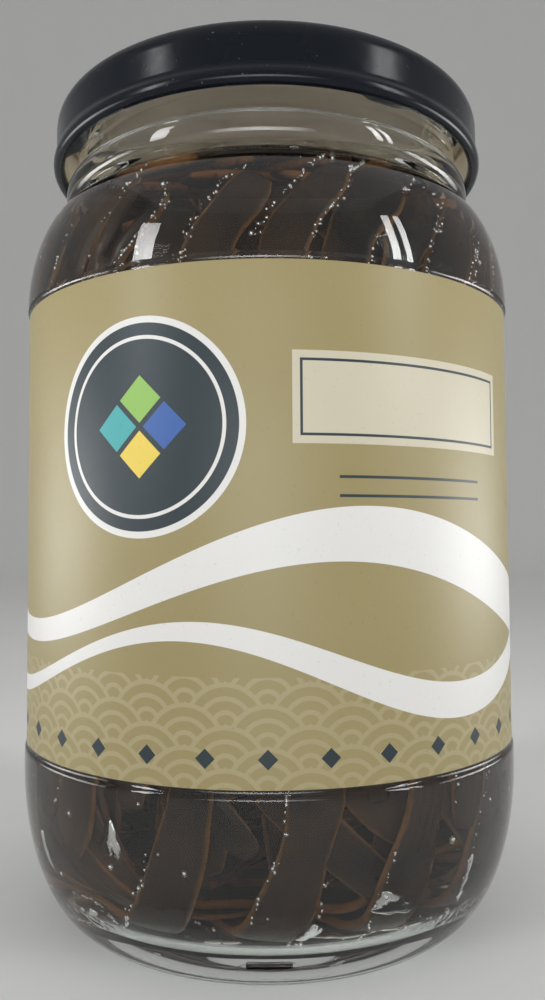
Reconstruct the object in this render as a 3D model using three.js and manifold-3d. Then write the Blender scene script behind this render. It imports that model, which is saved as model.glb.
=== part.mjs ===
// A round clear jar with a black twist-off lid, packed with straps of sea spaghetti in brine.
// Millimetres, +Z up. The jar's foot stands on z = 0, and the middle of the label faces -Y.
import * as THREE from "three";
import { mergeVertices } from "three/addons/utils/BufferGeometryUtils.js";
import Module from "manifold-3d";

const wasm = await Module();
wasm.setup();

// Driving dimensions
const sides = 40; // facets round every turned piece
const bodyRadius = 36.4;
const glassTop = 116;
const restGap = 0.12; // between pieces that rest on each other

// The jar's foot, heel, label panel and shoulder, outside
const footRadius = 26.6;
const footWidth = 2.4;
const pushUp = 2.6;
const heelTop = 22;
const panelRadius = 36;
const panelBottom = 25.1;
const panelTop = 86.6;
const stepHeight = 0.4;
const shoulderFoot = 87;
const shoulderCentre = 28.4; // radius of the middle of the shoulder's curve
const shoulderRise = 15.8;

// The finish: groove, bead, threaded wall and mouth
const grooveRadius = 29.4;
const beadRadius = 31;
const beadLow = 103.4;
const beadHigh = 107.4;
const finishRadius = 29.3;
const mouthRadius = 26;

// The jar's inside
const innerRadius = 34.1;
const innerFloor = 4.8;
const innerFloorCentre = 5;
const innerHeelCentre = 22.6;
const innerShoulderCentre = 25.4;
const innerShoulderFoot = 86.2;
const innerShoulderRise = 14.8;

// A shallow notch moulded in the heel at the front
const notchWidth = 5.4;
const notchHeight = 1.2;
const notchDepth = 0.5;
const notchAngle = 52; // degrees below the heel's widest place

// Four threads on the finish and four lugs in the lid
const threadStarts = 4;
const threadCrest = 30.8;
const threadFrom = -12; // degrees from the lug at rest, turning to loosen
const threadTo = 46;
const threadThickness = 1.7;
const threadSlope = 1.5 / 65; // millimetres of rise for each degree
const lugHalfArc = 6.5;
const lugInnerRadius = 29.75;
const lugBottom = 109.5;
const lugTop = 111;
const lugClearance = 0.3;

// The lid
const lidRadius = 32.5;
const curlRadius = 32.95;
const lidBottom = 109;
const lidTop = 117.8;
const sheet = 0.45;
const buttonRadius = 11;
const buttonDrop = 0.45;

// The seal ring bonded in the lid
const sealInner = 25.2;
const sealOuter = 31.1;
const sealThickness = 0.68;

// The label
const labelThickness = 0.3;
const labelBottom = 25.6;
const labelTop = 86.1;

// The brine stands to the neck, with a plain hollow round its middle that the straps lie in
const brineLevel = 104.2;
const brineLid = 100.1; // underside of the clear layer over the straps
const brineCoreDepth = 9.4; // from the glass to the middle column
const brineColumn = 24.2;
const brineShoulder = 27.1;
const brineGap = 0.3;

// The straps, in layers that follow the inside of the glass
const strapThickness = 1.3;
const strapStep = 6.8;
const slots = 14; // places round each layer
const driftFrom = 27; // way from the middle of the floor where the straps begin to slant
const driftLength = 85;
const forkSteps = 3; // of the strap's last steps
const forkSpread = 1.5;
const layers = [
  { depth: 1.5, aim: 0.35, slant: 0.95, wave: 0.1, waveLength: 47 },
  { depth: 4, aim: 1.55, slant: -1.05, wave: 0.09, waveLength: 58 },
  { depth: 6.7, aim: 2.6, slant: 0.75, wave: 0.12, waveLength: 40 },
];

const degrees = Math.PI / 180;

// Random draws that come out the same each time
let seed = 320;
function draw(low, high) {
  seed = (seed * 1664525 + 1013904223) % 4294967296;
  return low + (high - low) * seed / 4294967296;
}

// Points of an ellipse's arc, angles in degrees from straight out
function arc(centreR, centreZ, halfR, halfZ, from, to, steps) {
  const points = [];
  for (let i = 0; i <= steps; i++) {
    const angle = (from + (to - from) * i / steps) * degrees;
    points.push([centreR + halfR * Math.cos(angle), centreZ + halfZ * Math.sin(angle)]);
  }
  return points;
}

// Keeps the position alone, merges what is shared and drops triangles with no area
function weld(geometry) {
  const bare = new THREE.BufferGeometry();
  bare.setAttribute("position", geometry.getAttribute("position"));
  const index = geometry.index ? Array.from(geometry.index.array) : null;
  bare.setIndex(index ?? [...Array(geometry.getAttribute("position").count).keys()]);
  const merged = mergeVertices(bare, 1e-4);
  const corners = merged.index.array;
  const kept = [];
  for (let i = 0; i < corners.length; i += 3) {
    const [a, b, c] = [corners[i], corners[i + 1], corners[i + 2]];
    if (a !== b && b !== c && c !== a) {
      kept.push(a, b, c);
    }
  }
  merged.setIndex(kept);
  return facingOut(merged);
}

// Turns the faces round where the closed shape is inside out
function facingOut(geometry) {
  const at = geometry.getAttribute("position");
  const index = geometry.index.array;
  const [a, b, c] = [new THREE.Vector3(), new THREE.Vector3(), new THREE.Vector3()];
  let volume = 0;
  for (let i = 0; i < index.length; i += 3) {
    a.fromBufferAttribute(at, index[i]);
    b.fromBufferAttribute(at, index[i + 1]);
    c.fromBufferAttribute(at, index[i + 2]);
    volume += a.dot(b.cross(c));
  }
  if (volume < 0) {
    for (let i = 0; i < index.length; i += 3) {
      [index[i + 1], index[i + 2]] = [index[i + 2], index[i + 1]];
    }
  }
  return geometry;
}

// A turned piece from its outline of [radius, height] points
function turned(outline, facets = sides) {
  const points = outline.map(([r, z]) => new THREE.Vector2(Math.max(r, 0), z));
  const geometry = new THREE.LatheGeometry(points, facets);
  geometry.rotateX(Math.PI / 2);
  return weld(geometry);
}

// A closed bar through rings of points, each ring with the same number of them
function barThrough(rings) {
  const count = rings[0].length;
  const positions = rings.flat().flatMap((p) => [p.x, p.y, p.z]);
  const index = [];
  for (let i = 0; i + 1 < rings.length; i++) {
    for (let j = 0; j < count; j++) {
      const next = (j + 1) % count;
      const [a, b] = [i * count + j, i * count + next];
      index.push(a, b, b + count, a, b + count, a + count);
    }
  }
  const last = (rings.length - 1) * count;
  for (let j = 1; j + 1 < count; j++) {
    index.push(0, j + 1, j, last, last + j, last + j + 1);
  }
  const geometry = new THREE.BufferGeometry();
  geometry.setAttribute("position", new THREE.Float32BufferAttribute(positions, 3));
  geometry.setIndex(index);
  return weld(geometry);
}

function toSolid(geometry) {
  return new wasm.Manifold(new wasm.Mesh({
    numProp: 3,
    vertProperties: new Float32Array(geometry.getAttribute("position").array),
    triVerts: new Uint32Array(geometry.index.array),
  }));
}

function fromSolid(solid) {
  const mesh = solid.getMesh();
  const geometry = new THREE.BufferGeometry();
  geometry.setAttribute("position", new THREE.Float32BufferAttribute(mesh.vertProperties, 3));
  geometry.setIndex(Array.from(mesh.triVerts));
  return geometry;
}

function onCircle(radius, angle, z) {
  return new THREE.Vector3(radius * Math.sin(angle), -radius * Math.cos(angle), z);
}

// The glass jar
function jarOutline() {
  const heel = arc(footRadius, heelTop, bodyRadius - footRadius, heelTop, -90, 0, 7);
  const shoulder = arc(shoulderCentre, shoulderFoot, bodyRadius - shoulderCentre, shoulderRise, 0, 81, 7);
  const innerShoulder = arc(innerShoulderCentre, innerShoulderFoot, innerRadius - innerShoulderCentre,
    innerShoulderRise, 84, 0, 5);
  const innerHeel = arc(innerHeelCentre, heelTop, innerRadius - innerHeelCentre,
    heelTop - innerFloor, 0, -90, 6);
  return [
    [0, pushUp],
    [14, pushUp - 0.4],
    [footRadius - footWidth - 1.4, 0.7],
    [footRadius - footWidth, 0],
    ...heel,
    [bodyRadius, panelBottom - stepHeight],
    [panelRadius, panelBottom],
    [panelRadius, panelTop],
    ...shoulder,
    [grooveRadius, beadLow - 0.8],
    [beadRadius - 0.4, beadLow],
    [beadRadius, beadLow + 1],
    [beadRadius, beadHigh - 1.4],
    [beadRadius - 0.6, beadHigh - 0.4],
    [finishRadius, beadHigh],
    [finishRadius, glassTop - 1.8],
    [finishRadius - 0.8, glassTop - 0.4],
    [finishRadius - 1.7, glassTop],
    [mouthRadius + 0.8, glassTop - 0.1],
    [mouthRadius, glassTop - 0.9],
    [mouthRadius - 0.1, beadHigh + 1],
    [mouthRadius + 0.2, beadLow],
    ...innerShoulder,
    ...innerHeel,
    [0, innerFloorCentre],
  ];
}

function thread(lugAngle) {
  const rings = [];
  const steps = 8;
  for (let i = 0; i <= steps; i++) {
    const turn = threadFrom + (threadTo - threadFrom) * i / steps;
    const under = lugTop + lugClearance + threadSlope * turn;
    const crest = i === 0 || i === steps ? finishRadius + 0.25 : threadCrest;
    const angle = lugAngle + turn * degrees;
    rings.push([
      onCircle(finishRadius - 0.8, angle, under),
      onCircle(crest, angle, under + 0.25),
      onCircle(crest, angle, under + threadThickness - 0.6),
      onCircle(finishRadius - 0.8, angle, under + threadThickness),
    ]);
  }
  return barThrough(rings);
}

function lugAngles() {
  return [...Array(threadStarts).keys()].map((i) => 30 * degrees + i * 2 * Math.PI / threadStarts);
}

function heelNotch() {
  const angle = notchAngle * degrees;
  const notch = new THREE.BoxGeometry(notchWidth, 2 * notchDepth, notchHeight);
  const slope = Math.atan2(heelTop * Math.cos(angle), (bodyRadius - footRadius) * Math.sin(angle));
  notch.rotateX(Math.PI / 2 - slope);
  notch.translate(0, -(footRadius + (bodyRadius - footRadius) * Math.cos(angle)),
    heelTop - heelTop * Math.sin(angle));
  return notch;
}

function jarGeometry() {
  let jar = toSolid(turned(jarOutline()));
  for (const angle of lugAngles()) {
    jar = jar.add(toSolid(thread(angle)));
  }
  return fromSolid(jar.subtract(toSolid(weld(heelNotch()))));
}

// The lid: panel with its button, skirt, rolled rim and lugs
function lidOutline() {
  const panel = lidTop - 0.4;
  return [
    [0, panel - buttonDrop],
    [buttonRadius - 1.5, panel - buttonDrop],
    [buttonRadius, panel],
    [26.5, panel],
    [28.2, lidTop],
    [30.6, lidTop],
    [31.9, lidTop - 0.6],
    [lidRadius, lidTop - 1.9],
    [lidRadius, lidBottom + 2.3],
    [curlRadius, lidBottom + 1.5],
    [curlRadius, lidBottom + 0.6],
    [curlRadius - 0.5, lidBottom],
    [curlRadius - 1.2, lidBottom],
    [curlRadius - 1.65, lidBottom + 0.6],
    [curlRadius - 1.65, lidBottom + 1.5],
    [lidRadius - sheet, lidBottom + 2.3],
    [lidRadius - sheet, lidTop - 2],
    [31.5, lidTop - 0.85],
    [28.8, lidTop - 0.88],
    [buttonRadius, panel - sheet],
    [buttonRadius - 1.5, panel - buttonDrop - sheet],
    [0, panel - buttonDrop - sheet],
  ];
}

function lug(lugAngle) {
  const rings = [];
  const steps = 2;
  for (let i = 0; i <= steps; i++) {
    const angle = lugAngle + lugHalfArc * (2 * i / steps - 1) * degrees;
    const inner = i === 1 ? lugInnerRadius : lugInnerRadius + 0.4;
    rings.push([
      onCircle(curlRadius - 0.8, angle, lugBottom),
      onCircle(inner, angle, lugBottom + 0.3),
      onCircle(inner, angle, lugTop),
      onCircle(curlRadius - 0.8, angle, lugTop),
    ]);
  }
  return barThrough(rings);
}

function lidGeometry() {
  let lid = toSolid(turned(lidOutline()));
  for (const angle of lugAngles()) {
    lid = lid.add(toSolid(lug(angle)));
  }
  return fromSolid(lid);
}

function sealGeometry() {
  const low = glassTop + restGap;
  return turned([
    [sealInner, low + 0.2],
    [sealInner + 0.5, low],
    [sealOuter - 0.4, low],
    [sealOuter, low + 0.25],
    [sealOuter - 0.2, low + sealThickness],
    [sealInner + 0.3, low + sealThickness],
    [sealInner, low + 0.2],
  ]);
}

// The label goes round the panel and leaves one facet open on each side of the back
function labelGeometry() {
  const inner = panelRadius + restGap;
  const outer = inner + labelThickness;
  const facet = 2 * Math.PI / sides;
  const half = sides / 2 - 1;
  const rings = [];
  for (let i = -half; i <= half; i++) {
    rings.push([
      onCircle(inner, i * facet, labelBottom),
      onCircle(outer, i * facet, labelBottom),
      onCircle(outer, i * facet, labelTop),
      onCircle(inner, i * facet, labelTop),
    ]);
  }
  return barThrough(rings);
}

function brineGeometry() {
  const neck = mouthRadius - brineGap;
  return turned([
    [0, innerFloor + brineCoreDepth],
    ...arc(innerHeelCentre, heelTop, innerRadius - brineCoreDepth - innerHeelCentre,
      heelTop - innerFloor - brineCoreDepth, -90, 0, 3),
    [innerRadius - brineCoreDepth, innerShoulderFoot],
    [brineColumn, innerShoulderFoot + 5],
    [brineColumn, brineLid],
    [brineShoulder, brineLid],
    [neck, brineLid + 0.8],
    [neck, brineLevel],
    [0, brineLevel],
  ]);
}

// The inside of the glass, drawn in by a depth, as a line of points from its middle to the neck
function layerLine(depth) {
  const heelZ = heelTop - innerFloor - depth;
  const heel = arc(innerHeelCentre, heelTop, innerRadius - innerHeelCentre - depth, heelZ, -90, 0, 24);
  const shoulder = arc(innerShoulderCentre, innerShoulderFoot, innerRadius - innerShoulderCentre - depth,
    innerShoulderRise - depth, 0, 84, 24);
  const line = [[0, innerFloor + depth], ...heel, ...shoulder];
  const along = [0];
  for (let i = 1; i < line.length; i++) {
    along.push(along[i - 1] + Math.hypot(line[i][0] - line[i - 1][0], line[i][1] - line[i - 1][1]));
  }
  return { line, along, length: along[along.length - 1] };
}

// The point at a way along a layer's line
function pointAlong(layer, way) {
  const { line, along } = layer;
  let i = 1;
  while (i < line.length - 1 && along[i] < way) {
    i++;
  }
  const part = (way - along[i - 1]) / (along[i] - along[i - 1]);
  return [0, 1].map((k) => line[i - 1][k] + (line[i][k] - line[i - 1][k]) * part);
}

// The nearest point of a layer to a point in space, with the way out of the layer there
function ontoLayer(layer, point) {
  const radius = Math.hypot(point.x, point.y);
  const { line } = layer;
  let best = { gap: Infinity };
  for (let i = 1; i < line.length; i++) {
    const [ar, az] = line[i - 1];
    const [dr, dz] = [line[i][0] - ar, line[i][1] - az];
    const part = ((radius - ar) * dr + (point.z - az) * dz) / (dr * dr + dz * dz);
    const held = Math.min(Math.max(part, 0), 1);
    const [r, z] = [ar + dr * held, az + dz * held];
    const gap = Math.hypot(r - radius, z - point.z);
    if (gap < best.gap) {
      const size = Math.hypot(dr, dz);
      best = { gap, r, z, outR: dz / size, outZ: -dr / size };
    }
  }
  const angle = Math.atan2(point.y, point.x);
  return {
    at: new THREE.Vector3(best.r * Math.cos(angle), best.r * Math.sin(angle), best.z),
    out: new THREE.Vector3(best.outR * Math.cos(angle), best.outR * Math.sin(angle), best.outZ),
  };
}

// The middle line of a strap along [way, angle] guides on a layer, with the way across it at each step
function middleLine(layer, guides) {
  const flat = guides.map(([way, angle]) => new THREE.Vector3(way * Math.cos(angle), way * Math.sin(angle), 0));
  const curve = new THREE.CatmullRomCurve3(flat, false, "centripetal");
  const steps = Math.round(curve.getLength() / strapStep);
  const points = curve.getSpacedPoints(steps).map((p) => {
    const [r, z] = pointAlong(layer, Math.min(Math.hypot(p.x, p.y), layer.length));
    const angle = Math.atan2(p.y, p.x);
    return new THREE.Vector3(r * Math.cos(angle), r * Math.sin(angle), z);
  });
  return points.map((point, i) => {
    const before = points[Math.max(i - 1, 0)];
    const after = points[Math.min(i + 1, steps)];
    const along = after.clone().sub(before).normalize();
    return { point, across: along.cross(ontoLayer(layer, point).out).normalize() };
  });
}

// Inner and outer corners of a strap's section at an offset across it
function sectionEdge(layer, { point, across }, offset) {
  const { at, out } = ontoLayer(layer, point.clone().addScaledVector(across, offset));
  return [-1, 1].map((side) => at.clone().addScaledVector(out, side * strapThickness / 2));
}

function section(layer, step, left, right) {
  const [leftIn, leftOut] = sectionEdge(layer, step, left);
  const [rightIn, rightOut] = sectionEdge(layer, step, right);
  return [leftIn, rightIn, rightOut, leftOut];
}

// A strap's width swells and narrows a little, and draws in at a cut end
function halfWidthAt(halfWidth, i, last) {
  const end = i === 0 || i === last ? 0.55 : 1;
  return halfWidth * end * (1 + 0.1 * Math.sin(i * 1.9));
}

// A strap in one piece, or one whose last stretch is a fork with two tines
function strapGeometry(layer, guides, halfWidth, forked) {
  const line = middleLine(layer, guides);
  const last = line.length - 1;
  const split = forked ? last - forkSteps : last;
  const rings = [];
  for (let i = 0; i <= split; i++) {
    const wide = halfWidthAt(halfWidth, i, last);
    rings.push(section(layer, line[i], -wide, wide));
  }
  if (!forked) {
    return barThrough(rings);
  }
  const [middleIn, middleOut] = sectionEdge(layer, line[split], 0);
  const [leftIn, rightIn, rightOut, leftOut] = rings.pop();
  const crotch = [leftIn, middleIn, rightIn, rightOut, middleOut, leftOut];
  const leftTine = [[leftIn, middleIn, middleOut, leftOut]];
  const rightTine = [[middleIn, rightIn, rightOut, middleOut]];
  for (let i = split + 1; i <= last; i++) {
    const apart = forkSpread * (i - split) / forkSteps;
    const wide = halfWidth * (i === last ? 0.5 : 0.85);
    leftTine.push(section(layer, line[i], -apart - wide, -apart));
    rightTine.push(section(layer, line[i], apart, apart + wide));
  }
  return forkedBar(rings, crotch, [leftTine, rightTine]);
}

// A closed bar of four-cornered rings that parts at a six-cornered ring into two bars
function forkedBar(trunk, crotch, tines) {
  const triangles = [];
  const quad = (a, b, c, d) => triangles.push(a, b, c, a, c, d);
  const band = (from, to) => from.forEach((corner, j) => {
    const next = (j + 1) % from.length;
    quad(corner, from[next], to[next], to[j]);
  });
  const [first, end] = [trunk[0], trunk[trunk.length - 1]];
  quad(first[3], first[2], first[1], first[0]);
  for (let i = 0; i + 1 < trunk.length; i++) {
    band(trunk[i], trunk[i + 1]);
  }
  for (const [a, b, start] of [[0, 1, 0], [2, 3, 3]]) {
    triangles.push(end[a], end[b], crotch[start + 2], end[a], crotch[start + 2], crotch[start + 1]);
    triangles.push(end[a], crotch[start + 1], crotch[start]);
  }
  quad(end[1], end[2], crotch[3], crotch[2]);
  quad(end[3], end[0], crotch[0], crotch[5]);
  for (const tine of tines) {
    for (let i = 0; i + 1 < tine.length; i++) {
      band(tine[i], tine[i + 1]);
    }
    quad(...tine[tine.length - 1]);
  }
  const positions = triangles.flatMap((p) => [p.x, p.y, p.z]);
  const geometry = new THREE.BufferGeometry();
  geometry.setAttribute("position", new THREE.Float32BufferAttribute(positions, 3));
  return weld(geometry);
}

// How far round a layer's straps have drifted at a way up from the floor
function drift(rule, way) {
  const climb = Math.max(way - driftFrom, 0);
  return rule.slant * climb / driftLength + rule.wave * Math.sin(climb / rule.waveLength * 2 * Math.PI);
}

// Guides up the wall in one place of a layer, from the heel to the strap's top
function upTheWall(rule, angle, from, to) {
  const guides = [];
  const steps = Math.max(2, Math.round((to - from) / 11));
  for (let i = 0; i <= steps; i++) {
    const way = from + (to - from) * i / steps;
    guides.push([way, angle + drift(rule, way)]);
  }
  return guides;
}

// Every strap: pairs of places are joined by a run over the floor, and the end rows stop at the heel
function strapGeometries() {
  const straps = [];
  for (const rule of layers) {
    const layer = layerLine(rule.depth);
    const spacing = 2 * Math.PI / slots;
    for (let pair = 0; pair < slots / 2; pair++) {
      const away = spacing * (pair + 0.5);
      const halfWidth = draw(2.7, 3.5);
      const tops = [draw(0.5, 6), draw(0.5, 6)].map((drop) => layer.length - drop);
      const sidesOf = [1, -1].map((side) => rule.aim + side * away + draw(-0.04, 0.04));
      if (pair === 0 || pair === slots / 2 - 1) {
        for (const k of [0, 1]) {
          const guides = upTheWall(rule, sidesOf[k], 31 + 4 * k, tops[k]);
          straps.push(strapGeometry(layer, guides, halfWidth, k === 0));
        }
      } else {
        const first = upTheWall(rule, sidesOf[0], 36, tops[0]);
        const second = upTheWall(rule, sidesOf[1], 36, tops[1]);
        const floor = [0.3, -0.3].map((part) => {
          const x = innerHeelCentre * Math.cos(away);
          const y = innerHeelCentre * Math.sin(away) * part;
          return [Math.hypot(x, y), rule.aim + Math.atan2(y, x)];
        });
        const guides = [...second.reverse(), floor[1], floor[0], ...first];
        straps.push(strapGeometry(layer, guides, halfWidth, pair % 2 === 0));
      }
    }
  }
  return straps;
}

const glass = new THREE.MeshStandardMaterial({
  color: 0xdfe9e2, roughness: 0.04, metalness: 0, transparent: true, opacity: 0.35,
});
const lacquer = new THREE.MeshStandardMaterial({ color: 0x0d0f12, roughness: 0.25, metalness: 0.3 });
const compound = new THREE.MeshStandardMaterial({ color: 0xb9a88e, roughness: 0.7, metalness: 0 });
const paper = new THREE.MeshStandardMaterial({ color: 0x9c8c54, roughness: 0.6, metalness: 0 });
const liquid = new THREE.MeshStandardMaterial({
  color: 0x8a6434, roughness: 0.05, metalness: 0, transparent: true, opacity: 0.4,
});
const seaweed = new THREE.MeshStandardMaterial({ color: 0x33231a, roughness: 0.35, metalness: 0 });

function piece(name, geometry, material) {
  const mesh = new THREE.Mesh(geometry, material);
  mesh.name = name;
  return mesh;
}

const group = new THREE.Group();
group.add(piece("jar", jarGeometry(), glass));
group.add(piece("lid", lidGeometry(), lacquer));
group.add(piece("lid_seal", sealGeometry(), compound));
group.add(piece("label", labelGeometry(), paper));
group.add(piece("brine", brineGeometry(), liquid));
strapGeometries().forEach((geometry, i) => {
  group.add(piece(`strap_${String(i + 1).padStart(2, "0")}`, geometry, seaweed));
});

export default group;
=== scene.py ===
# A jar of sea spaghetti in brine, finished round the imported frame.
# Metres, +Z up, the middle of the label towards -Y. Values in the dictionaries are millimetres.
import math
import bpy
from mathutils import Matrix, Vector


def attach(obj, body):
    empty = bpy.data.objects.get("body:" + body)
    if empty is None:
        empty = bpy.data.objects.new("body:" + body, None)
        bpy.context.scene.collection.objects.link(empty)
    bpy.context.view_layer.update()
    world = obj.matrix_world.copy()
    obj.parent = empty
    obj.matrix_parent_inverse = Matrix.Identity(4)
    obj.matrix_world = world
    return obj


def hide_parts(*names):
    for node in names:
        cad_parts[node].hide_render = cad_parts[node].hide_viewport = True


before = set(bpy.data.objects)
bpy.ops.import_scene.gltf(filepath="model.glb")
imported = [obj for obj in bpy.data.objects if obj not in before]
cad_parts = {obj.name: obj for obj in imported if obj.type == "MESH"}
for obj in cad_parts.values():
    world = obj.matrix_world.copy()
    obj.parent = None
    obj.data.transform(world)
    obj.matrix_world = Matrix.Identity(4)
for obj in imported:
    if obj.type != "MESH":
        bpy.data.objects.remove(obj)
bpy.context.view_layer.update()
mm = 0.001
print("frame loaded:", len(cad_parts), "nodes")


# Small tools for modelling

def pickOnly(piece):
    for thing in list(bpy.context.selected_objects):
        thing.select_set(False)
    piece.select_set(True)
    bpy.context.view_layer.objects.active = piece


def startClean():
    for thing in list(bpy.context.selected_objects):
        thing.select_set(False)


def nameActive(name):
    piece = bpy.context.active_object
    piece.name = name
    piece.data.name = name
    return piece


def addModifier(piece, kind, **values):
    pickOnly(piece)
    modifier = piece.modifiers.new(kind.title(), kind)
    for key, value in values.items():
        setattr(modifier, key, value)
    bpy.ops.object.modifier_apply(modifier=modifier.name)


def editAll(piece, *steps):
    pickOnly(piece)
    bpy.ops.object.mode_set(mode="EDIT")
    bpy.ops.mesh.select_all(action="SELECT")
    for step in steps:
        step()
    bpy.ops.object.mode_set(mode="OBJECT")


def standFor(piece, body, slotName, nodes, *materials):
    for material in materials:
        piece.data.materials.append(material)
    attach(piece, body)
    if nodes:
        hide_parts(*nodes)


def arcPoints(centreR, centreZ, halfR, halfZ, start, end, steps):
    points = []
    for i in range(steps + 1):
        angle = math.radians(start + (end - start) * i / steps)
        points.append((centreR + halfR * math.cos(angle), centreZ + halfZ * math.sin(angle)))
    return points


# Rounds the corners of an outline whose points are (radius, height, how much to round)
def softCorners(points, steps=5):
    outline = []
    for i, (r, z, soft) in enumerate(points):
        if soft == 0 or i in (0, len(points) - 1):
            outline.append((r, z))
            continue
        ends = []
        for other in (points[i - 1], points[i + 1]):
            away = math.hypot(other[0] - r, other[1] - z)
            part = min(soft, 0.48 * away) / away
            ends.append((r + (other[0] - r) * part, z + (other[1] - z) * part))
        for k in range(steps + 1):
            t = k / steps
            before, across, after = (1 - t) ** 2, 2 * t * (1 - t), t ** 2
            outline.append((before * ends[0][0] + across * r + after * ends[1][0],
                            before * ends[0][1] + across * z + after * ends[1][1]))
    return outline


# A turned piece: a ring of vertices is moved onto the outline and spun round the jar's axis
def turnPiece(name, outline, steps):
    startClean()
    bpy.ops.mesh.primitive_circle_add(vertices=len(outline), radius=mm)
    piece = nameActive(name)
    for vertex, (r, z) in zip(piece.data.vertices, outline):
        vertex.co = (0, -max(r, 0) * mm, z * mm)
    editAll(piece,
            lambda: bpy.ops.mesh.spin(steps=steps, angle=2 * math.pi, center=(0, 0, 0), axis=(0, 0, 1)),
            lambda: bpy.ops.mesh.remove_doubles(threshold=0.002 * mm),
            lambda: bpy.ops.mesh.dissolve_degenerate(threshold=0.001 * mm),
            lambda: bpy.ops.mesh.select_all(action="SELECT"),
            lambda: bpy.ops.mesh.normals_make_consistent(inside=False))
    pickOnly(piece)
    bpy.ops.object.shade_smooth_by_angle(angle=math.radians(40))
    return piece


# Small tools for materials

def newMaterial(name):
    material = bpy.data.materials.new(name)
    material.use_nodes = True
    tree = material.node_tree
    return material, tree, tree.nodes["Principled BSDF"]


def setValues(shader, **values):
    for key, value in values.items():
        shader.inputs[key].default_value = value


def feed(tree, value, socket):
    if isinstance(value, bpy.types.NodeSocket):
        tree.links.new(value, socket)
    else:
        socket.default_value = value


def calc(tree, operation, first, second=0.0, third=None, clamp=False):
    node = tree.nodes.new("ShaderNodeMath")
    node.operation = operation
    node.use_clamp = clamp
    for socket, value in zip(node.inputs, (first, second, third)):
        if value is not None:
            feed(tree, value, socket)
    return node.outputs[0]


def blendColours(tree, mask, under, over):
    node = tree.nodes.new("ShaderNodeMix")
    node.data_type = "RGBA"
    feed(tree, mask, node.inputs[0])
    feed(tree, under, node.inputs[6])
    feed(tree, over, node.inputs[7])
    return node.outputs[2]


def addNoise(tree, vector, scale, detail=2.0, roughness=0.5):
    node = tree.nodes.new("ShaderNodeTexNoise")
    tree.links.new(vector, node.inputs["Vector"])
    feed(tree, scale, node.inputs["Scale"])
    setValues(node, Detail=detail, Roughness=roughness)
    return node.outputs["Fac"]


def objectPlace(tree):
    return tree.nodes.new("ShaderNodeTexCoord").outputs["Object"]


def addBump(tree, shader, height, strength, distance):
    node = tree.nodes.new("ShaderNodeBump")
    setValues(node, Strength=strength, Distance=distance)
    tree.links.new(height, node.inputs["Height"])
    tree.links.new(node.outputs["Normal"], shader.inputs["Normal"])


# Spread of a value about a middle, as a mask from 0 to 1
def spread(tree, value, low, high):
    node = tree.nodes.new("ShaderNodeMapRange")
    tree.links.new(value, node.inputs["Value"])
    setValues(node, **{"From Min": low, "From Max": high})
    return node.outputs["Result"]


# Grain that several finishes share: fine noise and sparse specks, at a scale that each one gives
def makeGrainGroup():
    group = bpy.data.node_groups.new("surfaceGrain", "ShaderNodeTree")
    for name, low in (("Grain Scale", 300.0), ("Speck Scale", 900.0), ("Speck Limit", 0.7)):
        socket = group.interface.new_socket(name, in_out="INPUT", socket_type="NodeSocketFloat")
        socket.default_value = low
    for name in ("Grain", "Specks"):
        group.interface.new_socket(name, in_out="OUTPUT", socket_type="NodeSocketFloat")
    inside = group.nodes.new("NodeGroupInput")
    outside = group.nodes.new("NodeGroupOutput")
    place = objectPlace(group)
    grain = addNoise(group, place, inside.outputs["Grain Scale"], detail=4.0, roughness=0.6)
    specks = addNoise(group, place, inside.outputs["Speck Scale"], detail=1.0)
    over = calc(group, "SUBTRACT", specks, inside.outputs["Speck Limit"])
    group.links.new(grain, outside.inputs["Grain"])
    group.links.new(calc(group, "MULTIPLY", over, 24.0, clamp=True), outside.inputs["Specks"])
    return group


grainGroup = makeGrainGroup()


def addGrain(tree, grainScale, speckScale, speckLimit):
    node = tree.nodes.new("ShaderNodeGroup")
    node.node_tree = grainGroup
    setValues(node, **{"Grain Scale": grainScale, "Speck Scale": speckScale, "Speck Limit": speckLimit})
    return node.outputs["Grain"], node.outputs["Specks"]


# A clear shader lets lamps shine through, so that what is inside is lit, or all light where nothing bends it
def letLampsThrough(tree, shader, tint, allLight=False):
    clear = tree.nodes.new("ShaderNodeBsdfTransparent")
    clear.inputs["Color"].default_value = tint
    path = tree.nodes.new("ShaderNodeLightPath")
    either = tree.nodes.new("ShaderNodeMixShader")
    feed(tree, 1.0 if allLight else path.outputs["Is Shadow Ray"], either.inputs[0])
    tree.links.new(shader.outputs[0], either.inputs[1])
    tree.links.new(clear.outputs[0], either.inputs[2])
    tree.links.new(either.outputs[0], tree.nodes["Material Output"].inputs["Surface"])


# The finishes

glassFinish = {
    "tint": (0.972, 0.99, 0.98, 1), "shadowTint": (0.9, 0.94, 0.92, 1), "bend": 1.52,
    "rippleScale": 75, "seamWidth": 0.16, "stippleScale": 900, "stippleTop": 0.5,
}
brineFinish = {"bend": 1.34, "amber": (0.8, 0.61, 0.4, 1), "density": 58.0}


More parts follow.
